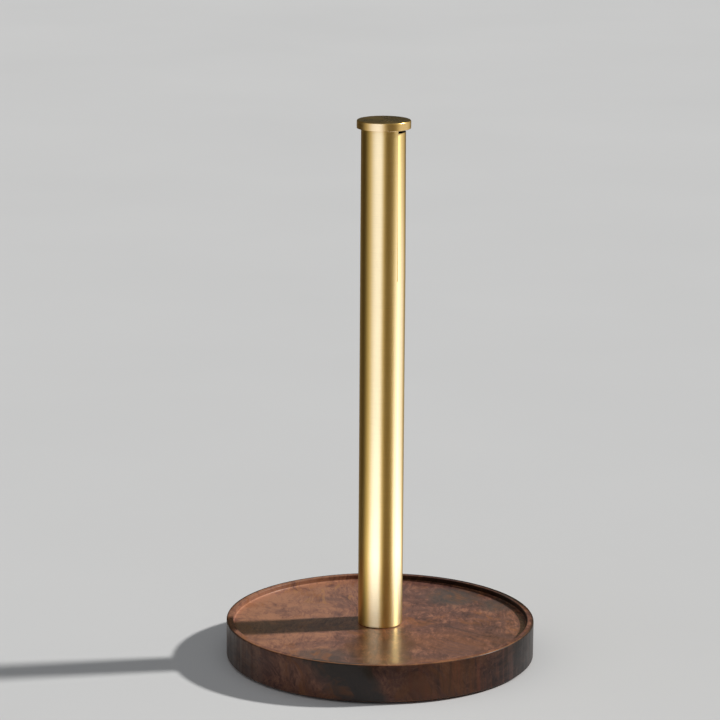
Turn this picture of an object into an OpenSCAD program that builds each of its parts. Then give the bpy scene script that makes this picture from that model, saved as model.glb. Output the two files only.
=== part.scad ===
// Upright paper towel holder: a turned walnut base with a shallow tray, a
// brushed brass post with a flanged cap, and a spring tongue slit in the
// side of the post just under the cap.
// Millimetres, +Z up. The origin is the centre of the underside, on the
// surface that the holder stands on. The tongue faces +X.

/* [Base] */
// Outside diameter of the wooden base
base_d = 173.5; // [160:0.5:190]
// Height of the rim above the surface that the holder stands on
base_h = 22.2; // [21:0.1:26]
// Width of the raised rim
rim_w = 3.8; // [3:0.1:6]
// Depth of the tray inside the rim
tray_depth = 3; // [2:0.1:3.5]
// Radius on the rim's outer edge
rim_edge_r = 0.8; // [0.4:0.1:1.2]
// Diameter of the anti-slip pad under the base
pad_d = 163; // [150:1:166]
// Thickness of the anti-slip pad
pad_t = 1.2; // [1:0.1:1.5]

/* [Weight] */
// Diameter of the steel weight let into the underside
weight_d = 140; // [120:1:145]
// Thickness of the weight
weight_t = 6; // [5:0.1:6.5]
// Number of screws that hold the weight
weight_screw_count = 4; // [3:1:6]
// Distance of those screws from the centre
weight_screw_ring_r = 52; // [40:1:56]

/* [Post] */
// Outside diameter of the brass tube
tube_d = 25; // [24:0.1:26]
// Wall thickness of the tube
tube_wall = 1.2; // [1:0.1:1.4]
// Free height of the tube, from the tray to the cap
tube_free_h = 282.4; // [270:0.1:300]

/* [Cap] */
// Diameter of the cap's flange
cap_d = 29.8; // [28:0.1:34]
// Thickness of the cap's flange
cap_t = 4.5; // [3:0.1:7]
// Length of the spigot that the cap has inside the tube
cap_spigot_h = 12; // [8:0.5:16]

/* [Tongue] */
// Width of the tongue across the tube
tongue_w = 18.7; // [14:0.1:19]
// Length of the tongue from its root to its free end
tongue_len = 82.5; // [60:0.1:110]
// Slot between the tongue's free end and the cap
tongue_slot_h = 1.9; // [0.8:0.1:2]
// Width of the slit along each side of the tongue
slit_w = 0.3; // [0.3:0.05:0.5]
// Angle that the tongue leans inwards at rest
tongue_lean = 0.3; // [0:0.05:0.4]

/* [Hidden] */
$fn = 96;

// Gap left between two turned faces that are glued or screwed together
fit_gap = 0.05;
// Distance that a cutting shape runs past the face it cuts
past = 1;

base_r = base_d / 2;
tray_r = base_r - rim_w;
tray_z = base_h - tray_depth;
tray_corner_r = 0.8;
rim_inner_edge_r = 0.5;
base_foot_edge_r = 1;

tube_r = tube_d / 2;
tube_bore_r = tube_r - tube_wall;
tube_foot_edge_r = 0.8;
tube_top_z = tray_z + tube_free_h;

cap_r = cap_d / 2;
cap_top_edge_r = 0.7;
cap_foot_edge_r = 0.25;
// The spigot is cut flat beside the tongue, which leaves room for it to move
spigot_flat_x = 4.2;

// The tongue turns about a line across the tube near its root
tongue_root_r = 6;
tongue_pivot_x = 10.5;
tongue_top_z = tube_top_z - tongue_slot_h;
tongue_pivot_z = tongue_top_z - tongue_len + tongue_root_r;

// M8 bolt that pulls the post down on to the base
bolt_r = 4;
bolt_hole_r = 4.5;
bolt_len = 25;
bolt_head_af = 13;
bolt_head_h = 5.3;
bolt_socket_af = 6;
bolt_socket_depth = 3.2;

flat_washer_r = 12;
flat_washer_hole_r = 4.2;
flat_washer_t = 1.6;
spring_washer_r = 7.4;
spring_washer_t = 2;
spring_washer_gap = 1;

// Foot plug: fills the foot of the tube and takes the bolt
plug_h = 20;
plug_boss_r = 7;
plug_boss_h = 4;
plug_thread_h = 19;
plug_chamfer = 1;

// Pocket for the bolt's head and washers, above the weight
bolt_pocket_r = 13.5;
bolt_pocket_h = 4.2;
pocket_z = pad_t + weight_t;
bolt_seat_z = pocket_z + bolt_pocket_h;
flat_washer_z = bolt_seat_z - flat_washer_t;
spring_washer_z = flat_washer_z - spring_washer_t;
plug_boss_z = tray_z - plug_boss_h;

weight_edge_chamfer = 0.6;
weight_pocket_gap = 0.4;

// Countersunk wood screws
screw_r = 1.9;
screw_head_r = 3.9;
screw_head_h = 2;
screw_len = 15;
screw_tip_h = 2.5;
screw_tip_r = 0.6;
screw_drive_r = 1.4;
screw_drive_depth = 1.3;
screw_hole_r = 2.2;

walnut = [0.33, 0.19, 0.12];
brass = [0.83, 0.67, 0.36];
brass_inner = [0.74, 0.60, 0.34];
dark_steel = [0.27, 0.28, 0.30];
zinc_steel = [0.68, 0.69, 0.71];
pad_black = [0.10, 0.10, 0.11];

// Rectangle in the turning profile, from radius r0 to r1 and height z0 to z1,
// with an arc of the given radius on its outer top and outer foot corners
module turned_band(r0, r1, z0, z1, outer_top = 0, outer_foot = 0) {
    difference() {
        translate([r0, z0]) square([r1 - r0, z1 - z0]);
        if (outer_top > 0) corner_cut(r1, z1, outer_top, 1);
        if (outer_foot > 0) corner_cut(r1, z0, outer_foot, -1);
    }
}

// Takes the sharp outer corner off a turning profile and leaves an arc.
// side is 1 for a corner at the top and -1 for one at the foot
module corner_cut(r, z, corner_r, side) {
    difference() {
        translate([r - corner_r, side > 0 ? z - corner_r : z - past])
            square([corner_r + past, corner_r + past]);
        translate([r - corner_r, z - side * corner_r]) circle(r = corner_r, $fn = 48);
    }
}

// Places its children at every screw of the weight
module at_weight_screws() {
    for (i = [0 : weight_screw_count - 1])
        rotate([0, 0, 45 + i * 360 / weight_screw_count])
            translate([weight_screw_ring_r, 0, 0])
                children();
}

// Cylinder about the tongue's pivot line, which runs across the tube
module about_pivot(r, width) {
    translate([tongue_pivot_x, 0, tongue_pivot_z])
        rotate([90, 0, 0])
            cylinder(r = r, h = width, center = true);
}

// Half of the turned outline of the base, before its holes are bored
module base_outline() {
    difference() {
        turned_band(0, base_r, pad_t, base_h, rim_edge_r, base_foot_edge_r);
        tray_outline();
        rim_inner_edge_cut();
    }
}

// Hollow of the tray, with an arc where its wall meets its floor
module tray_outline() {
    difference() {
        translate([-past, tray_z]) square([tray_r + past, tray_depth + past]);
        difference() {
            translate([tray_r - tray_corner_r, tray_z]) square(tray_corner_r);
            translate([tray_r - tray_corner_r, tray_z + tray_corner_r])
                circle(r = tray_corner_r, $fn = 48);
        }
    }
}

// Takes the sharp corner off the inner edge of the rim
module rim_inner_edge_cut() {
    difference() {
        translate([tray_r - past, base_h - rim_inner_edge_r])
            square([past + rim_inner_edge_r, rim_inner_edge_r + past]);
        translate([tray_r + rim_inner_edge_r, base_h - rim_inner_edge_r])
            circle(r = rim_inner_edge_r, $fn = 48);
    }
}

// Turned walnut disc: rim, tray, pocket for the weight and bores for the post
module wood_base() {
    color(walnut)
    difference() {
        rotate_extrude($fn = 180) base_outline();
        translate([0, 0, pad_t - past])
            cylinder(r = weight_d / 2 + weight_pocket_gap, h = weight_t + past, $fn = 120);
        translate([0, 0, pocket_z - past])
            cylinder(r = bolt_pocket_r, h = bolt_pocket_h + past);
        translate([0, 0, bolt_seat_z - past])
            cylinder(r = bolt_hole_r, h = plug_boss_z - bolt_seat_z + 2 * past);
        translate([0, 0, plug_boss_z])
            cylinder(r = plug_boss_r + fit_gap, h = plug_boss_h + past);
        at_weight_screws()
            translate([0, 0, pocket_z - past])
                cylinder(r = screw_r + fit_gap, h = screw_len - weight_t + past + fit_gap, $fn = 32);
    }
}

// Thin pad glued under the base, which covers the weight and the bolt
module anti_slip_pad() {
    color(pad_black)
    cylinder(r = pad_d / 2, h = pad_t, $fn = 120);
}

// Steel disc with countersunk holes and a central hole for the bolt's head
module weight_plate() {
    color(dark_steel)
    difference() {
        translate([0, 0, pad_t])
            rotate_extrude($fn = 120)
                difference() {
                    translate([bolt_pocket_r, 0])
                        square([weight_d / 2 - bolt_pocket_r, weight_t]);
                    translate([weight_d / 2, 0])
                        rotate(45)
                            square(weight_edge_chamfer * sqrt(2), center = true);
                }
        at_weight_screws() {
            translate([0, 0, pad_t - past])
                cylinder(r = screw_hole_r, h = weight_t + 2 * past, $fn = 32);
            translate([0, 0, pad_t - fit_gap])
                cylinder(r1 = screw_head_r + 2 * fit_gap, r2 = screw_r + 2 * fit_gap,
                         h = screw_head_h + 2 * fit_gap, $fn = 32);
        }
    }
}

// One countersunk wood screw, head down, with its head at height 0
module wood_screw() {
    difference() {
        union() {
            cylinder(r1 = screw_head_r, r2 = screw_r, h = screw_head_h, $fn = 32);
            cylinder(r = screw_r, h = screw_len - screw_tip_h, $fn = 32);
            translate([0, 0, screw_len - screw_tip_h])
                cylinder(r1 = screw_r, r2 = screw_tip_r, h = screw_tip_h, $fn = 32);
        }
        translate([0, 0, -past])
            cylinder(r = screw_drive_r, h = screw_drive_depth + past, $fn = 6);
    }
}

// The screws that hold the weight in its pocket
module weight_screws() {
    color(zinc_steel)
    at_weight_screws()
        translate([0, 0, pad_t])
            wood_screw();
}

// Brass tube with the window that the tongue stands in
module post_tube() {
    color(brass)
    difference() {
        rotate_extrude()
            turned_band(tube_bore_r, tube_r, tray_z, tube_top_z, 0, tube_foot_edge_r);
        translate([0, -tongue_w / 2 - slit_w, tongue_pivot_z])
            cube([tube_d, tongue_w + 2 * slit_w, tube_top_z - tongue_pivot_z + past]);
        about_pivot(tongue_root_r + fit_gap, tongue_w + 2 * slit_w);
    }
}

// Strip of the tube's own wall, free along its sides and at its top end
module tension_tongue() {
    color(brass)
    intersection() {
        translate([tongue_pivot_x, 0, tongue_pivot_z])
            rotate([0, -tongue_lean, 0])
                translate([-tongue_pivot_x, 0, -tongue_pivot_z])
                    tongue_wall();
        union() {
            translate([0, -tongue_w / 2, tongue_pivot_z])
                cube([tube_d, tongue_w, tongue_top_z - tongue_pivot_z]);
            about_pivot(tongue_root_r, tongue_w);
        }
    }
}

// Plain tube wall that the tongue is cut from
module tongue_wall() {
    difference() {
        translate([0, 0, tongue_pivot_z - 2 * tongue_root_r])
            cylinder(r = tube_r, h = tongue_len + 2 * tongue_root_r);
        translate([0, 0, tongue_pivot_z - 2 * tongue_root_r - past])
            cylinder(r = tube_bore_r, h = tongue_len + 2 * tongue_root_r + 2 * past);
    }
}

// Flanged cap with a spigot inside the tube, cut flat beside the tongue
module top_cap() {
    color(brass)
    difference() {
        union() {
            rotate_extrude()
                turned_band(0, cap_r, tube_top_z, tube_top_z + cap_t,
                            cap_top_edge_r, cap_foot_edge_r);
            translate([0, 0, tube_top_z - cap_spigot_h])
                cylinder(r = tube_bore_r - fit_gap, h = cap_spigot_h + past);
        }
        translate([spigot_flat_x, -tube_r, tube_top_z - cap_spigot_h - past])
            cube([tube_d, tube_d, cap_spigot_h + past]);
    }
}

// Plug in the foot of the tube: boss into the base, threaded for the bolt
module foot_plug() {
    color(brass_inner)
    difference() {
        union() {
            translate([0, 0, plug_boss_z])
                cylinder(r = plug_boss_r, h = plug_boss_h + past);
            translate([0, 0, tray_z])
                cylinder(r = tube_bore_r - fit_gap, h = plug_h - plug_chamfer);
            translate([0, 0, tray_z + plug_h - plug_chamfer])
                cylinder(r1 = tube_bore_r - fit_gap, r2 = tube_bore_r - fit_gap - plug_chamfer,
                         h = plug_chamfer);
        }
        translate([0, 0, plug_boss_z - past])
            cylinder(r = bolt_r + fit_gap, h = plug_thread_h + past);
    }
}

// M8 bolt from below, hexagon head with a hexagon socket
module post_bolt() {
    color(zinc_steel)
    difference() {
        union() {
            translate([0, 0, spring_washer_z - bolt_head_h])
                cylinder(d = bolt_head_af / cos(30), h = bolt_head_h, $fn = 6);
            translate([0, 0, spring_washer_z - past])
                cylinder(r = bolt_r, h = bolt_len + past, $fn = 48);
        }
        translate([0, 0, spring_washer_z - bolt_head_h - past])
            cylinder(d = bolt_socket_af / cos(30), h = bolt_socket_depth + past, $fn = 6);
    }
}

// Wide flat washer against the wood
module flat_washer() {
    color(zinc_steel)
    translate([0, 0, flat_washer_z])
        difference() {
            cylinder(r = flat_washer_r, h = flat_washer_t);
            translate([0, 0, -past])
                cylinder(r = flat_washer_hole_r, h = flat_washer_t + 2 * past, $fn = 48);
        }
}

// Split spring washer under the bolt's head
module spring_washer() {
    color(dark_steel)
    translate([0, 0, spring_washer_z])
        difference() {
            cylinder(r = spring_washer_r, h = spring_washer_t);
            translate([0, 0, -past])
                cylinder(r = flat_washer_hole_r, h = spring_washer_t + 2 * past, $fn = 48);
            translate([0, -spring_washer_gap / 2, -past])
                cube([spring_washer_r + past, spring_washer_gap, spring_washer_t + 2 * past]);
        }
}

wood_base();
anti_slip_pad();
weight_plate();
weight_screws();
post_tube();
tension_tongue();
top_cap();
foot_plug();
post_bolt();
flat_washer();
spring_washer();
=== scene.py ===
"""Looks of the upright paper towel holder: walnut tray base, brushed brass post and cap."""
import math

import bpy
from mathutils import Matrix, Vector


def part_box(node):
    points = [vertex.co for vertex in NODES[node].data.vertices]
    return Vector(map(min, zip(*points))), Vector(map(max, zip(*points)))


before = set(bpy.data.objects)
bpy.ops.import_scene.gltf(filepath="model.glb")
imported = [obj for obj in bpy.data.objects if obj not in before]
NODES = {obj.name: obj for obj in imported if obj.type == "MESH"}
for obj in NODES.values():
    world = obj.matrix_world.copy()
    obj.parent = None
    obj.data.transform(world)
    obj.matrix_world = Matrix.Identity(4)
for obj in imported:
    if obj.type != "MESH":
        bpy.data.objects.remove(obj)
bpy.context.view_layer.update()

MM = 0.001
BASE_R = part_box("wood_base")[1][0]
RIM_W = 3.8 * MM
TUBE_R = -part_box("post_tube")[0][0]
CAP_UNDERSIDE_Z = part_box("post_tube")[1][2]


# ---------------------------------------------------------------- node helpers
class Graph:
    """Short calls for building one material's node tree."""

    def __init__(self, name):
        self.mat = bpy.data.materials.new(name)
        self.mat.use_nodes = True
        self.tree = self.mat.node_tree
        self.tree.nodes.clear()
        self.out = self.tree.nodes.new("ShaderNodeOutputMaterial")

    def add(self, kind, **props):
        made = self.tree.nodes.new(kind)
        for key, value in props.items():
            setattr(made, key, value)
        return made

    def link(self, source, target):
        self.tree.links.new(source, target)

    def put(self, socket, value):
        """Links value to socket if it is an output, and sets it as the default otherwise."""
        if isinstance(value, bpy.types.NodeSocket):
            self.link(value, socket)
        else:
            socket.default_value = value

    def coords(self):
        return self.add("ShaderNodeTexCoord").outputs["Object"]

    def split(self, vector):
        made = self.add("ShaderNodeSeparateXYZ")
        self.link(vector, made.inputs[0])
        return tuple(made.outputs)

    def join(self, x, y, z=0.0):
        made = self.add("ShaderNodeCombineXYZ")
        for socket, value in zip(made.inputs, (x, y, z)):
            self.put(socket, value)
        return made.outputs[0]

    def noise(self, vector, scale, detail, rough, distortion=0.0, shift=(0, 0, 0), turn=0,
              colour=False):
        """Noise of a vector that is scaled, then turned about Z by turn degrees, then shifted."""
        place = self.add("ShaderNodeMapping")
        self.link(vector, place.inputs["Vector"])
        place.inputs["Scale"].default_value = scale
        place.inputs["Rotation"].default_value = (0, 0, math.radians(turn))
        place.inputs["Location"].default_value = shift
        made = self.add("ShaderNodeTexNoise")
        self.link(place.outputs["Vector"], made.inputs["Vector"])
        made.inputs["Scale"].default_value = 1.0
        made.inputs["Detail"].default_value = detail
        made.inputs["Roughness"].default_value = rough
        made.inputs["Distortion"].default_value = distortion
        return made.outputs["Color" if colour else "Fac"]

    def math(self, operation, a, b=0.0, c=0.0):
        made = self.add("ShaderNodeMath", operation=operation)
        for socket, value in zip(made.inputs, (a, b, c)):
            self.put(socket, value)
        return made.outputs[0]

    def chain(self, operation, first, *others):
        """Joins any number of values by one operation on two values, such as ADD."""
        for value in others:
            first = self.math(operation, first, value)
        return first

    def invert(self, value):
        return self.math("SUBTRACT", 1.0, value)

    def vmath(self, operation, a, b=(0, 0, 0), scale=None):
        made = self.add("ShaderNodeVectorMath", operation=operation)
        self.put(made.inputs[0], a)
        if scale is None:
            self.put(made.inputs[1], b)
        else:
            self.put(made.inputs["Scale"], scale)
        return made.outputs["Value" if operation == "LENGTH" else "Vector"]

    def distance_from_z(self, point):
        return self.vmath("LENGTH", self.vmath("MULTIPLY", point, (1.0, 1.0, 0.0)))

    def ramp(self, value, stops):
        """Maps a number through (position, colour) stops."""
        made = self.add("ShaderNodeValToRGB")
        self.put(made.inputs["Fac"], value)
        line = made.color_ramp.elements
        while len(line) < len(stops):
            line.new(0.5)
        for element, (place, tone) in zip(line, stops):
            element.position = place
            element.color = (*tone, 1)
        return made.outputs["Color"]

    def mix(self, factor, a, b, mode="MIX"):
        made = self.add("ShaderNodeMix", data_type="RGBA", blend_type=mode)
        self.put(made.inputs[0], factor)
        for socket, value in ((made.inputs[6], a), (made.inputs[7], b)):
            self.put(socket, (*value, 1) if isinstance(value, tuple) else value)
        return made.outputs[2]

    def span(self, value, low, high, to_low=0.0, to_high=1.0):
        """Takes low..high smoothly to to_low..to_high, and holds the ends beyond them."""
        made = self.add("ShaderNodeMapRange", interpolation_type="SMOOTHSTEP")
        self.put(made.inputs["Value"], value)
        for name, number in (("From Min", low), ("From Max", high),
                             ("To Min", to_low), ("To Max", to_high)):
            made.inputs[name].default_value = number
        return made.outputs["Result"]

    def bump(self, height, distance, strength):
        made = self.add("ShaderNodeBump")
        made.inputs["Strength"].default_value = strength
        made.inputs["Distance"].default_value = distance
        self.put(made.inputs["Height"], height)
        return made.outputs["Normal"]

    def shader(self, colour, roughness, normal=None, metallic=0.0):
        made = self.add("ShaderNodeBsdfPrincipled")
        self.put(made.inputs["Base Color"], colour)
        self.put(made.inputs["Roughness"], roughness)
        if normal is not None:
            self.put(made.inputs["Normal"], normal)
        made.inputs["Metallic"].default_value = metallic
        self.link(made.outputs[0], self.out.inputs["Surface"])
        return made


# ---------------------------------------------------------------- walnut
class Walnut:
    """Lacquered figured walnut, with one method for each feature. Lengths are in mm."""

    base_r = BASE_R / MM
    tray_r = (BASE_R - RIM_W) / MM
    # the marks that show on the tray's floor are centred just under it
    tray_z = 19.0

    def __init__(self):
        g = self.g = Graph("walnut")
        self.point = g.vmath("SCALE", g.coords(), scale=1 / MM)
        self.place_x, self.place_y, self.place_z = g.split(self.point)
        self.radius = g.distance_from_z(self.point)

        slow = self.waves((0.022, 0.012, 0.03), 2.0, 0.5, 34.0)
        quick = self.waves((0.10, 0.055, 0.12), 3.0, 0.55, 4.0)
        self.bent = g.vmath("ADD", g.vmath("ADD", self.point, slow), quick)
        self.x, self.y, self.z = g.split(self.bent)

        # layers lean, run front to back on the left and turn towards the right-hand side
        self.leaning = g.math("MULTIPLY_ADD", self.z, 0.45, self.x)
        turned = g.math("ADD", g.math("MULTIPLY", self.leaning, 0.55),
                        g.math("MULTIPLY_ADD", self.y, 0.85, 45.0))
        self.knotty = g.span(self.x, -30.0, 42.0)
        layer = g.math("ADD", g.math("MULTIPLY", self.leaning, g.invert(self.knotty)),
                       g.math("MULTIPLY", turned, self.knotty))
        self.layered = g.join(layer, self.y, self.z)

        self.streaks = self.grain(0.36, 0.024, 4.0, 0.62, 5.3)
        self.fibre = self.grain(1.7, 0.075, 3.0, 0.6, 2.1)
        self.pores = g.span(self.grain(3.4, 0.16, 2.0, 0.7, 9.1), 0.62, 0.72)
        self.curls = g.noise(self.bent, (0.17, 0.055, 0.12), 4.0, 0.62, 0.4, turn=-20)
        self.mottle = g.noise(self.bent, (0.060, 0.110, 0.10), 5.0, 0.64, 0.5, shift=(4.0, 1.0, 0.0))
        self.wobble = g.math("MULTIPLY_ADD", g.noise(self.bent, (0.07, 0.07, 0.07), 4.0, 0.6), 1.5, -0.75)
        self.wavy_radius = g.math("ADD", self.radius, g.math("MULTIPLY_ADD", self.mottle, 0.5, -0.25))

    def waves(self, scale, detail, rough, reach):
        """Waviness of the figure: how far each point is moved, within half of reach each way."""
        g = self.g
        swing = g.noise(self.point, scale, detail, rough, colour=True)
        return g.vmath("SCALE", g.vmath("SUBTRACT", swing, (0.5, 0.5, 0.5)), scale=reach)

    def grain(self, across, along, detail, rough, shift=0.0):
        """Noise drawn out along the layers."""
        return self.g.noise(self.layered, (across, along, 1.6 * along), detail, rough,
                            shift=(shift, 0.0, 0.0))

    def blob(self, centre, radii, soft, point=None):
        """Mask of one soft dark or light cloud in the wood: 1 inside an ellipsoid, 0 outside."""
        g = self.g
        if point is None:
            point = self.point
        away = g.vmath("DIVIDE", g.vmath("SUBTRACT", point, centre), radii)
        reach = g.math("ADD", g.vmath("LENGTH", away), self.wobble)
        return g.span(reach, 1.0 - soft, 1.0 + soft, 1.0, 0.0)

    def share(self, field, on_left, on_right):
        """Share of one field in the tone, which changes from the left to the knotty right."""
        g = self.g
        return g.math("MULTIPLY", field,
                      g.math("MULTIPLY_ADD", self.knotty, on_right - on_left, on_left))

    def body(self):
        """Colour of the figure itself, before its marks, stain and painted light."""
        g = self.g
        bands = self.grain(0.085, 0.008, 3.0, 0.55)
        flecks = g.noise(self.bent, (0.50, 1.00, 0.6), 4.0, 0.65, turn=-30)
        figure = g.noise(self.bent, (0.44, 0.13, 0.34), 3.0, 0.65, 0.6, turn=-24)
        clouds = g.noise(self.bent, (0.045, 0.060, 0.055), 3.0, 0.55, 0.3, shift=(1.5, 8.0, 0.0))
        tone = g.chain(
            "ADD",
            self.share(bands, 0.18, 0.10),
            self.share(self.streaks, 0.13, 0.10),
            self.share(self.curls, 0.20, 0.0),
            self.share(self.mottle, 0.0, 0.36),
            self.share(flecks, 0.15, 0.15),
            self.share(self.fibre, 0.08, 0.08),
            self.share(clouds, 0.31, 0.26),
            # the fine figure is centred on zero, so that it adds contrast and leaves the tone alone
            self.share(g.math("SUBTRACT", figure, 0.5), 0.36, 0.50),
            # the wood is palest at the back left
            g.span(self.leaning, -60.0, 50.0, 0.076, -0.036),
            self.share(g.span(self.y, -60.0, 50.0, -0.030, 0.035), 1.0, 0.0),
        )
        colour = g.ramp(tone, [
            (0.36, (0.073, 0.033, 0.030)),
            (0.43, (0.136, 0.061, 0.051)),
            (0.50, (0.202, 0.091, 0.071)),
            (0.56, (0.315, 0.144, 0.101)),
            (0.65, (0.480, 0.228, 0.140)),
        ])
        plum = g.noise(self.bent, (0.050, 0.060, 0.060), 4.0, 0.6, 0.4, shift=(3.0, 5.0, 2.0))
        return g.mix(g.span(plum, 0.46, 0.66, 0.0, 0.60), colour, (0.180, 0.092, 0.082))

    def dark_clouds(self, colour):
        """A slanting dark heart on the front of the side wall, and three clouds in the tray."""
        g = self.g
        sloping = g.join(g.math("MULTIPLY_ADD", self.z, 0.45, self.leaning), self.y)
        heart = self.blob((-9.0, -88.0, 0.0), (16.5, 16.0, 9.0), 0.30, sloping)
        knot = self.blob((43.0, 50.0, self.tray_z), (15.0, 17.0, 14.0), 0.5)
        eye = self.blob((67.0, 36.0, self.tray_z), (9.0, 13.0, 12.0), 0.5)
        cloud = self.blob((-33.0, -62.0, self.tray_z), (17.0, 12.0, 12.0), 0.6)
        dark = g.chain("MAXIMUM", g.math("MULTIPLY", heart, 0.92), g.math("MULTIPLY", knot, 0.75),
                       g.math("MULTIPLY", eye, 0.60), g.math("MULTIPLY", cloud, 0.60))
        return g.mix(dark, colour, (0.078, 0.073, 0.071))

    def rusty_clouds(self, colour):
        """Rust-coloured clouds all through the wood, and two larger ones at the front right."""
        g = self.g
        glow = g.noise(self.bent, (0.060, 0.040, 0.055), 4.0, 0.65, 0.6, shift=(7.3, 2.2, 5.1))
        ember = self.blob((38.0, -34.0, self.tray_z), (27.0, 19.0, 14.0), 0.6)
        rust = self.blob((38.0, -78.0, 12.0), (30.0, 15.0, 13.0), 0.6)
        warm = g.chain("MAXIMUM", g.span(glow, 0.52, 0.66, 0.0, 0.65),
                       g.math("MULTIPLY", ember, 0.45), g.math("MULTIPLY", rust, 0.8))
        warm = g.math("MULTIPLY", warm, g.span(self.streaks, 0.35, 0.60, 0.25, 1.0))
        return g.mix(warm, colour, (0.340, 0.130, 0.050))

    def painted_post_reflection(self, colour):
        """Painted reflection and shade of the post: a darker, gold-tinted stretch runs from the post to the
        front of the tray.
        """
        g = self.g
        post_reflection = self.blob((0.0, -46.0, self.tray_z), (17.0, 44.0, 6.0), 0.35)
        tinted = g.mix(1.0, colour, (0.48, 0.38, 0.20), "MULTIPLY")
        return g.mix(g.math("MULTIPLY", post_reflection, 0.8), colour, tinted)

    def vein(self, colour):
        """One dark vein curves over the right of the tray."""
        g = self.g
        line = g.chain("ADD", self.y, g.math("MULTIPLY", self.x, 0.45),
                       g.math("MULTIPLY", self.mottle, 9.0))
        off_line = g.math("ABSOLUTE", g.math("SUBTRACT", line, 8.5))
        vein = g.chain("MULTIPLY", g.span(off_line, 0.25, 1.3, 1.0, 0.0),
                       g.span(self.x, 22.0, 34.0), g.span(self.x, 58.0, 74.0, 1.0, 0.0))
        return g.mix(g.math("MULTIPLY", vein, 0.55), colour, (0.060, 0.032, 0.028))

    def flames(self, colour):
        """Pale flames cross the back left of the tray."""
        g = self.g
        flame = g.noise(self.bent, (0.30, 0.050, 0.20), 2.0, 0.5, shift=(2.0, 6.0, 0.0), turn=-35)
        flame = g.math("MULTIPLY", g.span(flame, 0.58, 0.68),
                       self.blob((-30.0, 55.0, self.tray_z), (32.0, 22.0, 12.0), 0.5))
        return g.mix(g.math("MULTIPLY", flame, 0.55), colour, (0.520, 0.250, 0.105))

    def stain_and_painted_shade(self, colour):
        """The rim top and the side wall take more stain than the flat of the tray. Painted shade
        darkens the inner wall of the rim, most on the right where it faces away from the key light,
        the side wall more towards the right where the key light falls on it, and the back edge.
        """
        g = self.g
        base_r, tray_r = self.base_r, self.tray_r
        # painted shade on the inner wall of the rim, strongest on the right
        inner_wall_shade = g.chain("MULTIPLY", g.span(self.place_z, self.tray_z + 0.4, self.tray_z + 1.0),
                             g.span(self.radius, tray_r + 0.25, tray_r + 0.65, 1.0, 0.0),
                             g.span(self.place_x, -20.0, 30.0, 0.35, 0.85))
        rim_top = g.span(self.wavy_radius, tray_r, tray_r + 0.6)
        side = g.math("MULTIPLY", g.span(self.wavy_radius, base_r - 1.8, base_r - 0.4),
                      g.span(self.place_x, -40.0, 85.0, 0.28, 0.82))
        # painted shade: the back edge is nearly black, in a wider band on the right, but for the side wall
        # itself
        right_band = g.math("MULTIPLY", g.span(self.wavy_radius, base_r - 2.9, base_r - 2.0),
                            g.span(self.place_x, -5.0, 35.0))
        band = g.math("MAXIMUM", g.span(self.wavy_radius, base_r - 1.9, base_r - 1.0), right_band)
        back_edge_shade = g.chain("MULTIPLY", band, g.span(self.radius, base_r - 0.45, base_r - 0.1, 1.0, 0.0),
                            g.span(self.place_y, 0.0, 35.0, 0.0, 0.92))
        kept = g.chain("MULTIPLY", g.invert(inner_wall_shade), g.math("MULTIPLY_ADD", rim_top, -0.10, 1.0),
                       g.invert(side), g.invert(back_edge_shade))
        return g.mix(1.0, colour, kept, "MULTIPLY")

    def side_wall(self, colour):
        """End grain shows as upright reddish streaks on the right half of the side wall. Painted
        reflection: the wall's left and right ends carry a painted grey sheen, darker on the right."""
        g = self.g
        wall = g.span(self.radius, self.base_r - 0.5, self.base_r - 0.2)
        upright = g.noise(self.point, (0.42, 0.42, 0.030), 4.0, 0.6, shift=(0.0, 3.0, 6.0))
        upright = g.math("MULTIPLY_ADD", g.math("SUBTRACT", self.curls, 0.5), 0.25, upright)
        end_grain = g.math("MULTIPLY", wall, g.span(self.place_x, -5.0, 30.0))
        reddish = g.math("MULTIPLY", end_grain, g.span(upright, 0.50, 0.68, 0.0, 0.36))
        colour = g.mix(reddish, colour, (0.150, 0.042, 0.020))
        gap = g.math("MULTIPLY", end_grain, g.span(upright, 0.34, 0.46, 0.34, 0.0))
        colour = g.mix(gap, colour, (0.020, 0.014, 0.012))
        # painted reflection: a grey sheen on the left and right ends of the side wall
        end_sheen = g.math("MULTIPLY", wall,
                        g.span(g.math("ABSOLUTE", self.place_x), 56.0, 84.0, 0.0, 0.68))
        grey = g.mix(g.span(self.place_x, -30.0, 30.0), (0.075, 0.078, 0.075), (0.020, 0.022, 0.023))
        grey = g.mix(1.0, grey, g.span(upright, 0.35, 0.65, 0.45, 1.55), "MULTIPLY")
        return g.mix(end_sheen, colour, grey)

    def painted_rim_highlight(self, colour):
        """Painted highlight: a light orange line along the front of the rim's outer edge, where it catches
        the light.
        """
        g = self.g
        rim_highlight = g.chain("MULTIPLY", g.span(self.radius, self.base_r - 1.3, self.base_r - 0.9),
                         g.span(self.radius, self.base_r - 0.5, self.base_r - 0.25, 1.0, 0.0),
                         g.span(self.place_y, -60.0, -10.0, 1.0, 0.0),
                         g.span(self.mottle, 0.35, 0.60, 0.35, 0.95))
        return g.mix(rim_highlight, colour, (0.430, 0.190, 0.085))

    def material(self):
        g = self.g
        colour = self.body()
        colour = self.dark_clouds(colour)
        colour = self.rusty_clouds(colour)
        colour = self.painted_post_reflection(colour)
        colour = self.vein(colour)
        colour = self.flames(colour)
        colour = g.mix(g.math("MULTIPLY", self.pores, 0.45), colour, (0.030, 0.014, 0.010))
        colour = self.stain_and_painted_shade(colour)
        colour = self.side_wall(colour)
        colour = self.painted_rim_highlight(colour)

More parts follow.
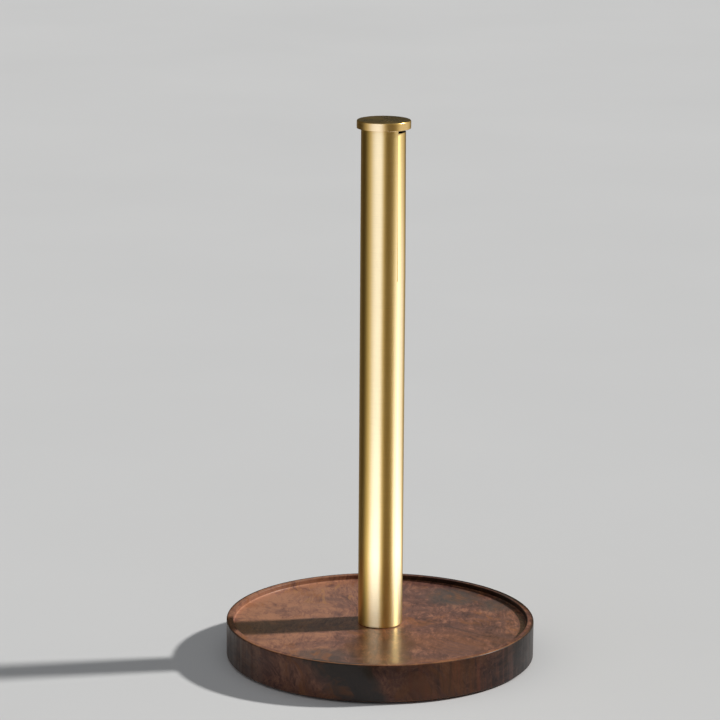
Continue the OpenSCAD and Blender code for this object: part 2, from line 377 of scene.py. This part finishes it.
        height = g.math("MULTIPLY", g.math("SUBTRACT", self.fibre, self.pores), 0.5)
        smear = g.noise(self.point, (0.05, 0.05, 0.05), 4.0, 0.6)
        rough = g.math("MULTIPLY_ADD", self.pores, 0.15, g.span(smear, 0.3, 0.7, 0.40, 0.52))
        s = g.shader(colour, rough, g.bump(height, 0.03 * MM, 0.5))
        s.inputs["IOR"].default_value = 1.5
        s.inputs["Specular IOR Level"].default_value = 0.15
        # most of the lacquer has worn off everything but the flat of the tray
        g.link(g.span(self.radius, self.tray_r - 1.6, self.tray_r - 0.9, 0.75, 0.16),
               s.inputs["Coat Weight"])
        s.inputs["Coat Roughness"].default_value = 0.24
        s.inputs["Coat IOR"].default_value = 1.42
        return g.mat


# ---------------------------------------------------------------- metals and rubber
def faded(colour, level):
    return tuple(level * c for c in colour)


def brushed_brass_material(name, base, rough_low, rough_high, brushing=0.9, shade_inside=True):
    """Brass with fine lines round the Z axis and soft clouding."""
    g = Graph(name)
    at = g.coords()
    x, y, z = g.split(at)
    angle = g.math("ARCTAN2", y, x)
    ring = g.join(g.math("COSINE", angle), g.math("SINE", angle), z)
    lines = g.noise(ring, (1.4, 1.4, 6500), 3.0, 0.6)
    coarse = g.noise(ring, (0.7, 0.7, 1500), 2.0, 0.6)
    cloud = g.noise(at, (70, 70, 22), 4.0, 0.55)

    colour = g.mix(g.span(lines, 0.30, 0.70), faded(base, 0.90), base)
    colour = g.mix(g.span(cloud, 0.35, 0.75, 0.0, 0.30), colour, faded(base, 0.93))
    if shade_inside:
        # painted shade: the bore, and what of the cap goes into it, is darkened to a near-black brown
        inside = g.math("MULTIPLY",
                        g.span(g.distance_from_z(at), TUBE_R - 0.7 * MM, TUBE_R - 0.4 * MM, 1.0, 0.0),
                        g.span(z, CAP_UNDERSIDE_Z - 0.2 * MM, CAP_UNDERSIDE_Z, 1.0, 0.0))
        colour = g.mix(inside, colour, (0.060, 0.038, 0.016))
    height = g.math("ADD", g.math("MULTIPLY", lines, 0.6), g.math("MULTIPLY", coarse, 0.4))
    rough = g.math("ADD", g.span(cloud, 0.3, 0.7, rough_low, rough_high),
                   g.span(lines, 0.3, 0.7, -0.02, 0.02))
    s = g.shader(colour, rough, g.bump(height, 0.002 * MM, 0.4), metallic=1.0)
    s.inputs["Anisotropic"].default_value = brushing
    s.inputs["Anisotropic Rotation"].default_value = 0.25
    tangent = g.add("ShaderNodeTangent", direction_type="RADIAL", axis="Z")
    g.link(tangent.outputs[0], s.inputs["Tangent"])
    return g.mat


def steel_material(name, base, rough_low, rough_high, metallic=1.0):
    """Steel with a fine even grain and soft clouding."""
    g = Graph(name)
    at = g.coords()
    grain = g.noise(at, (900, 900, 900), 3.0, 0.6)
    cloud = g.noise(at, (90, 90, 90), 4.0, 0.6)
    colour = g.mix(g.span(cloud, 0.35, 0.7, 0.0, 0.5), base, faded(base, 0.82))
    rough = g.span(cloud, 0.3, 0.7, rough_low, rough_high)
    g.shader(colour, rough, g.bump(grain, 0.01 * MM, 0.4), metallic=metallic)
    return g.mat


def rubber_material():
    g = Graph("pad_rubber")
    at = g.coords()
    fine = g.noise(at, (2600, 2600, 2600), 3.0, 0.7)
    cloud = g.noise(at, (60, 60, 60), 3.0, 0.6)
    colour = g.mix(g.span(cloud, 0.3, 0.7), (0.018, 0.018, 0.020), (0.030, 0.029, 0.030))
    g.shader(colour, g.span(fine, 0.3, 0.7, 0.62, 0.85), g.bump(fine, 0.03 * MM, 0.6))
    return g.mat


# ---------------------------------------------------------------- the CAD nodes' materials
def dress(node, material):
    o = NODES[node]
    o.data.materials.clear()
    o.data.materials.append(material)
    for p in o.data.polygons:
        p.material_index = 0


brass = brushed_brass_material("brushed_brass", (0.83, 0.615, 0.225), 0.33, 0.38)
cap_brass = brushed_brass_material("cap_brass", (0.80, 0.57, 0.21), 0.26, 0.31, brushing=0.3)
turned_brass = brushed_brass_material("turned_brass", (0.72, 0.55, 0.28), 0.22, 0.34, shade_inside=False)
walnut = Walnut().material()
zinc = steel_material("zinc_steel", (0.60, 0.61, 0.62), 0.22, 0.36)
coated_steel = steel_material("weight_steel", (0.035, 0.036, 0.039), 0.38, 0.52, metallic=0.0)
spring_steel = steel_material("spring_steel", (0.20, 0.20, 0.21), 0.3, 0.45)

dress("wood_base", walnut)
dress("anti_slip_pad", rubber_material())
dress("weight_plate", coated_steel)
dress("weight_screws", zinc)
dress("post_tube", brass)
dress("tension_tongue", brass)
dress("top_cap", cap_brass)
dress("foot_plug", turned_brass)
dress("post_bolt", zinc)
dress("flat_washer", zinc)
dress("spring_washer", spring_steel)


# ---------------------------------------------------------------- floor
FLOOR_HALF = 7.0


def floor_material():
    g = Graph("pale_floor")
    cloud = g.noise(g.coords(), (3, 3, 3), 4.0, 0.5)
    colour = g.mix(cloud, (0.590, 0.603, 0.621), (0.635, 0.648, 0.666))
    s = g.shader(colour, 0.9)
    s.inputs["Specular IOR Level"].default_value = 0.0
    return g.mat


def place_object(name, data):
    made = bpy.data.objects.new(name, data)
    bpy.context.scene.collection.objects.link(made)
    return made


floor_mesh = bpy.data.meshes.new("floor")
floor_mesh.from_pydata([(FLOOR_HALF * x, FLOOR_HALF * y, 0) for x, y in ((-1, -1), (1, -1), (1, 1), (-1, 1))],
                       [], [(0, 1, 2, 3)])
floor_mesh.materials.append(floor_material())
floor = place_object("floor", floor_mesh)


# ---------------------------------------------------------------- surroundings that gloss reflects
RING_TOP = 0.60
RING_STEPS = 180
RING_ROWS = 24


def smooth_step(low, high, x):
    t = min(1.0, max(0.0, (x - low) / (high - low)))
    return t * t * (3 - 2 * t)


def card(x, rise0, rise1, fall0, fall1):
    """Brightness of one soft-edged studio card at azimuth x, in degrees."""
    return smooth_step(rise0, rise1, x) * (1 - smooth_step(fall0, fall1, x))


def room_tint(azimuth, z):
    """Dim warm-grey surroundings; azimuth 0 faces the camera, + is to the right."""
    behind = smooth_step(135, 165, abs(azimuth))
    left_edge = card(azimuth, -150, -120, -100, -60)
    low = 1 - smooth_step(0.12, 0.32, z)
    front = Vector((0.22, 0.17, 0.10)) * (1 - 0.65 * left_edge) * (1 - 0.2 * smooth_step(0.15, 0.30, z))
    back = Vector((0.16, 0.16, 0.14)) * (0.35 + 0.65 * low)
    return front * (1 - behind) + back * behind


def card_tint(azimuth, z):
    """Two tall soft-edged cards, one to the front left and one to the right: cool in the
    middle, warm towards their edges, and brighter near the tray, which shades them."""
    left = card(azimuth, -106, -26, -16, 18)
    right = 0.9 * card(azimuth, 42, 72, 108, 158) * (1 - 0.5 * smooth_step(0.18, 0.33, z))
    brightness = left + right
    middle = smooth_step(0.35, 0.95, brightness)
    tint = Vector((1.10, 1.02, 0.80)) * (1 - middle) + Vector((1.17, 1.40, 2.75)) * middle
    near_tray = 1 - smooth_step(0.03, 0.10, z)
    near_rim = 1 - smooth_step(0.0, 0.05, z)
    return tint * (brightness * (1 + 0.7 * near_tray) + (2.9 * left + 1.6 * right) * near_rim)


def glowing_material(name, see_through):
    """Light in the mesh's own tint, which hides nothing behind it if it is see-through."""
    g = Graph(name)
    tint = g.add("ShaderNodeAttribute", attribute_name="tint")
    glow = g.add("ShaderNodeEmission")
    g.link(tint.outputs["Color"], glow.inputs["Color"])
    surface = glow.outputs[0]
    if see_through:
        both = g.add("ShaderNodeAddShader")
        g.link(surface, both.inputs[0])
        g.link(g.add("ShaderNodeBsdfTransparent").outputs[0], both.inputs[1])
        surface = both.outputs[0]
    g.link(surface, g.out.inputs["Surface"])
    g.mat.cycles.emission_sampling = "NONE"
    return g.mat


def light_only(o, receivers):
    """Keeps o's light off everything but the receivers."""
    lit = bpy.data.collections.new(o.name + "_receivers")
    for receiver in receivers:
        lit.objects.link(receiver)
    o.light_linking.receiver_collection = lit


def reflector_ring(name, radius, tint_at, crown=None, see_through=False):
    """Ring of studio light round the holder, seen only in the reflections of glossy things.
    It is closed on top by a flat sheet of light if crown gives the tint of its middle."""
    verts, faces, tints = [], [], []
    for row in range(RING_ROWS + 1):
        z = RING_TOP * row / RING_ROWS
        for step in range(RING_STEPS):
            azimuth = -180 + 360 * step / RING_STEPS
            a = math.radians(azimuth)
            verts.append((radius * math.sin(a), -radius * math.cos(a), z))
            tints.append((*tint_at(azimuth, z), 1))
    for row in range(RING_ROWS):
        low, high = row * RING_STEPS, (row + 1) * RING_STEPS
        for step in range(RING_STEPS):
            after = (step + 1) % RING_STEPS
            faces.append((low + step, low + after, high + after, high + step))
    if crown is not None:
        middle = len(verts)
        top_row = middle - RING_STEPS
        verts.append((0, 0, RING_TOP))
        tints.append((*crown, 1))
        for step in range(RING_STEPS):
            faces.append((top_row + step, top_row + (step + 1) % RING_STEPS, middle))
    mesh = bpy.data.meshes.new(name)
    mesh.from_pydata(verts, [], faces)
    layer = mesh.attributes.new("tint", "FLOAT_COLOR", "POINT")
    for element, tint in zip(layer.data, tints):
        element.color = tint
    mesh.materials.append(glowing_material(name, see_through))
    made = place_object(name, mesh)
    made.visible_camera = False
    made.visible_diffuse = False
    made.visible_shadow = False
    made.visible_transmission = False
    made.visible_volume_scatter = False
    return made


reflector_ring("room_ring", 1.56 * BASE_R, room_tint, crown=(0.90, 0.85, 0.75))
cards = reflector_ring("card_ring", 1.50 * BASE_R, card_tint, see_through=True)
light_only(cards, [NODES[n] for n in ("post_tube", "tension_tongue", "top_cap")])


# ---------------------------------------------------------------- lights
def sun(name, energy, width, azimuth, elevation):
    """Sun lamp width degrees across, from azimuth (0 faces the camera, + to the right)."""
    light = bpy.data.lights.new(name, "SUN")
    light.energy = energy
    light.angle = math.radians(width)
    made = place_object(name, light)
    a, e = math.radians(azimuth), math.radians(elevation)
    made.location = (math.sin(a) * math.cos(e), -math.cos(a) * math.cos(e), math.sin(e))
    made.rotation_mode = "QUATERNION"
    made.rotation_quaternion = made.location.to_track_quat("Z", "Y")
    return made


key = sun("key", 3.6, 4, 100, 35)
key.data.color = (1.0, 0.97, 0.92)
fill = sun("fill", 0.19, 120, -25, 60)
fill.visible_glossy = False
# light thrown back on to the floor by the pale room
bounce = sun("bounce", 0.74, 120, -60, 55)
light_only(bounce, [floor])

world = bpy.data.worlds.new("studio")
world.use_nodes = True
background = world.node_tree.nodes["Background"]
background.inputs["Color"].default_value = (0.95, 0.98, 1.0, 1)
background.inputs["Strength"].default_value = 0.045
bpy.context.scene.world = world
bpy.context.scene.view_settings.view_transform = "Standard"


# ---------------------------------------------------------------- camera
CAMERA_AT = Vector((0.00094, -1.7595, 0.5785))
FOCAL_LENGTH = 162.63
SENSOR_WIDTH = 36
PITCH, YAW, ROLL = (math.radians(v) for v in (13.03, -0.43, 0.36))

forward = Vector((math.sin(YAW) * math.cos(PITCH), math.cos(YAW) * math.cos(PITCH), -math.sin(PITCH)))
level = Vector((math.cos(YAW), -math.sin(YAW), 0))
above = level.cross(forward)
right = math.cos(ROLL) * level + math.sin(ROLL) * above
up = math.cos(ROLL) * above - math.sin(ROLL) * level

lens = bpy.data.cameras.new("camera")
lens.lens = FOCAL_LENGTH
lens.sensor_width = SENSOR_WIDTH
lens.clip_start, lens.clip_end = 0.05, 40
camera = place_object("camera", lens)
turn = Matrix((right, up, -forward)).transposed().to_4x4()
camera.matrix_world = Matrix.Translation(CAMERA_AT) @ turn
bpy.context.scene.camera = camera
